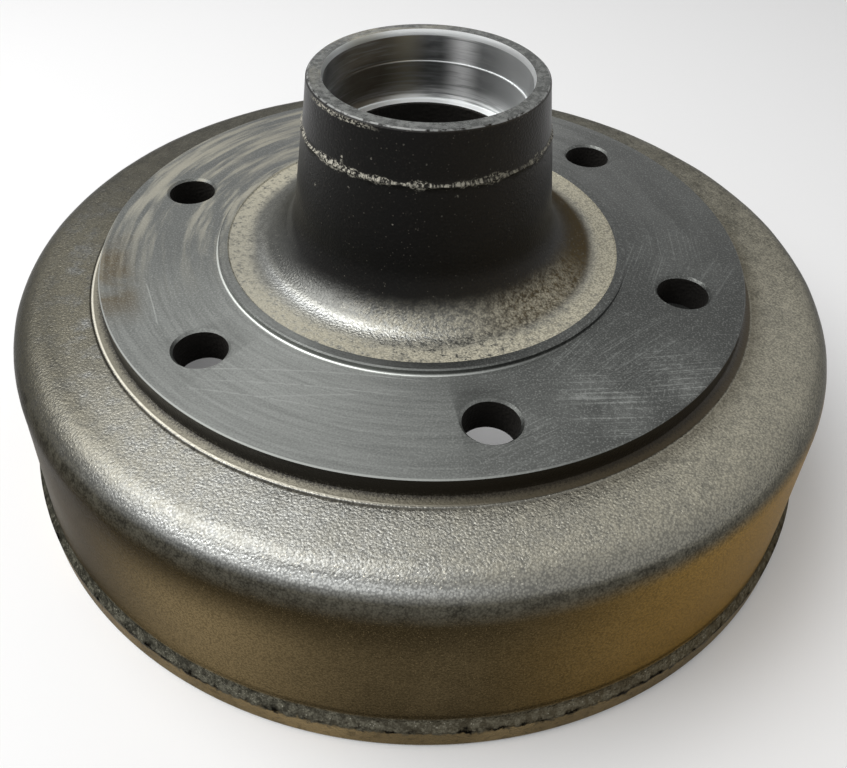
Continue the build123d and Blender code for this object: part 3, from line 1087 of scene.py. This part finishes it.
def finish_casting(mesh, shape, colours):
    """Gives each face its finish, makes the skin uneven, and shades all smooth but the sharp edges."""
    mesh.materials.clear()
    for finish in (skin_finish, turned_finish, bore_finish, core_finish):
        mesh.materials.append(finish(colours))
    bm = bmesh.new()
    bm.from_mesh(mesh)
    for face in bm.faces:
        centre = face.calc_center_median()
        face.material_index = zone(math.hypot(centre.x, centre.y), centre.z)
        face.smooth = True
    uneven_skin(bm, shape)
    bm.normal_update()
    for edge in bm.edges:
        edge.smooth = len(edge.link_faces) == 2 and edge.calc_face_angle() < SHARP_ANGLE
    bm.to_mesh(mesh)
    bm.free()


class DRUM_OT_casting(bpy.types.Operator):
    """Make the casting: its half section spun round the hub axis, drilled, and given its finishes"""

    bl_idname = "drum.casting"
    bl_label = "Casting"

    def execute(self, context):
        shape = context.scene.drum_shape
        casting = bpy.data.objects.new("drum_casting", spun_casting(shape.steps))
        context.collection.objects.link(casting)
        drill(context, casting)
        finish_casting(casting.data, shape, context.scene.drum_colours)
        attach(casting, "root")
        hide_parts("brake_drum")
        return {"FINISHED"}


# the camera, seen from the hub axis
CAMERA_AZIMUTH = math.radians(-73.8)
CAMERA_REACH = 0.2890
CAMERA_HEIGHT = 0.28475
CAMERA_HEADING = math.radians(17.64)
CAMERA_DOWN = math.radians(43.89)
CAMERA_ROLL = math.radians(1.375)
CAMERA_SHIFT = 0.0277

# the softbox hangs up on the left and reaches nearly overhead
BOX_AZIMUTH = math.radians(-161)
BOX_UP = math.radians(62)
BOX_REACH = 1.25

FLOOR_SIZE = 4
FLOOR_GLOW = 0.14


def seen_level(tree, socket, lighting, seen):
    """One level for light on matt surfaces, and one for what the camera, gloss and glass see."""
    rays = tree.nodes.new("ShaderNodeLightPath")
    level = tree.nodes.new("ShaderNodeMapRange")
    level.inputs["To Min"].default_value = lighting
    level.inputs["To Max"].default_value = seen
    share = rays.outputs["Is Camera Ray"]
    for name in ("Is Glossy Ray", "Is Transmission Ray"):
        either = tree.nodes.new("ShaderNodeMath")
        either.operation = "MAXIMUM"
        tree.links.new(share, either.inputs[0])
        tree.links.new(rays.outputs[name], either.inputs[1])
        share = either.outputs[0]
    tree.links.new(share, level.inputs["Value"])
    tree.links.new(level.outputs["Result"], socket)


def add_camera(context, stage):
    """The camera, on its stand before the drum."""
    lens = bpy.data.cameras.new("camera")
    lens.lens = stage.lens
    lens.sensor_width = 36
    lens.shift_x = CAMERA_SHIFT
    lens.clip_start = 0.01
    camera = bpy.data.objects.new("camera", lens)
    camera.location = (
        CAMERA_REACH * math.cos(CAMERA_AZIMUTH), CAMERA_REACH * math.sin(CAMERA_AZIMUTH), CAMERA_HEIGHT,
    )
    camera.rotation_euler = (
        Matrix.Rotation(CAMERA_HEADING, 3, "Z") @ Matrix.Rotation(math.pi / 2 - CAMERA_DOWN, 3, "X")
        @ Matrix.Rotation(CAMERA_ROLL, 3, "Z")
    ).to_euler()
    context.collection.objects.link(camera)
    context.scene.camera = camera


def add_floor(context):
    """A pale floor that glows a little to the camera and in gloss, but lights nothing."""
    bm = bmesh.new()
    bmesh.ops.create_grid(bm, x_segments=1, y_segments=1, size=FLOOR_SIZE)
    floor = bpy.data.objects.new("floor", made_mesh(bm, "floor"))
    context.collection.objects.link(floor)
    surface = bpy.data.materials.new("pale_floor")
    surface.use_nodes = True
    shader = surface.node_tree.nodes["Principled BSDF"]
    shader.inputs["Base Color"].default_value = (0.85, 0.85, 0.85, 1)
    shader.inputs["Roughness"].default_value = 0.9
    shader.inputs["Emission Color"].default_value = (1, 1, 1, 1)
    floor.data.materials.append(surface)
    seen_level(surface.node_tree, shader.inputs["Emission Strength"], 0, FLOOR_GLOW)


def add_world(context, stage):
    """White surroundings, brighter to look at than the light they give."""
    world = bpy.data.worlds.new("studio")
    world.use_nodes = True
    context.scene.world = world
    background = world.node_tree.nodes["Background"]
    background.inputs["Color"].default_value = (1, 1, 1, 1)
    seen_level(world.node_tree, background.inputs["Strength"], stage.sky, 1)


def add_softbox(context, stage):
    """The one lamp, turned to the hub."""
    light = bpy.data.lights.new("softbox", "AREA")
    light.energy = stage.box_power
    light.shape = "RECTANGLE"
    light.size = stage.box_width
    light.size_y = stage.box_length
    softbox = bpy.data.objects.new("softbox", light)
    stand = Matrix.Rotation(BOX_AZIMUTH, 3, "Z") @ Matrix.Rotation(-BOX_UP, 3, "Y")
    softbox.location = stand @ Vector((BOX_REACH, 0, 0))
    turn = Matrix.Rotation(math.pi / 2, 3, "Y") @ Matrix.Rotation(math.pi / 2, 3, "Z")
    softbox.rotation_euler = (stand @ turn).to_euler()
    context.collection.objects.link(softbox)


class DRUM_OT_stage(bpy.types.Operator):
    """Make the floor, the lamp, the world and the camera"""

    bl_idname = "drum.stage"
    bl_label = "Stage"

    def execute(self, context):
        stage = context.scene.drum_stage
        add_camera(context, stage)
        add_floor(context)
        add_world(context, stage)
        add_softbox(context, stage)
        context.scene.view_settings.view_transform = "Standard"
        return {"FINISHED"}


class DRUM_PT_sidebar(bpy.types.Panel):
    """Lists the drum's makers in the sidebar"""

    bl_idname = "DRUM_PT_sidebar"
    bl_label = "Brake drum"
    bl_space_type = "VIEW_3D"
    bl_region_type = "UI"
    bl_category = "Drum"

    def draw(self, context):
        for group in (context.scene.drum_shape, context.scene.drum_colours, context.scene.drum_stage):
            for name in group.bl_rna.properties.keys():
                if name not in ("rna_type", "name"):
                    self.layout.prop(group, name)
        for operator in OPERATORS:
            self.layout.operator(operator.bl_idname)


OPERATORS = (DRUM_OT_casting, DRUM_OT_stage)
GROUPS = {"drum_shape": DrumShape, "drum_colours": DrumColours, "drum_stage": DrumStage}


def register():
    for item in (*GROUPS.values(), *OPERATORS, DRUM_PT_sidebar):
        bpy.utils.register_class(item)
    for name, group in GROUPS.items():
        setattr(bpy.types.Scene, name, PointerProperty(type=group))


def unregister():
    for name in GROUPS:
        delattr(bpy.types.Scene, name)
    for item in reversed((*GROUPS.values(), *OPERATORS, DRUM_PT_sidebar)):
        bpy.utils.unregister_class(item)


def main():
    register()
    bpy.ops.drum.casting()
    bpy.ops.drum.stage()


if __name__ == "__main__":
    main()
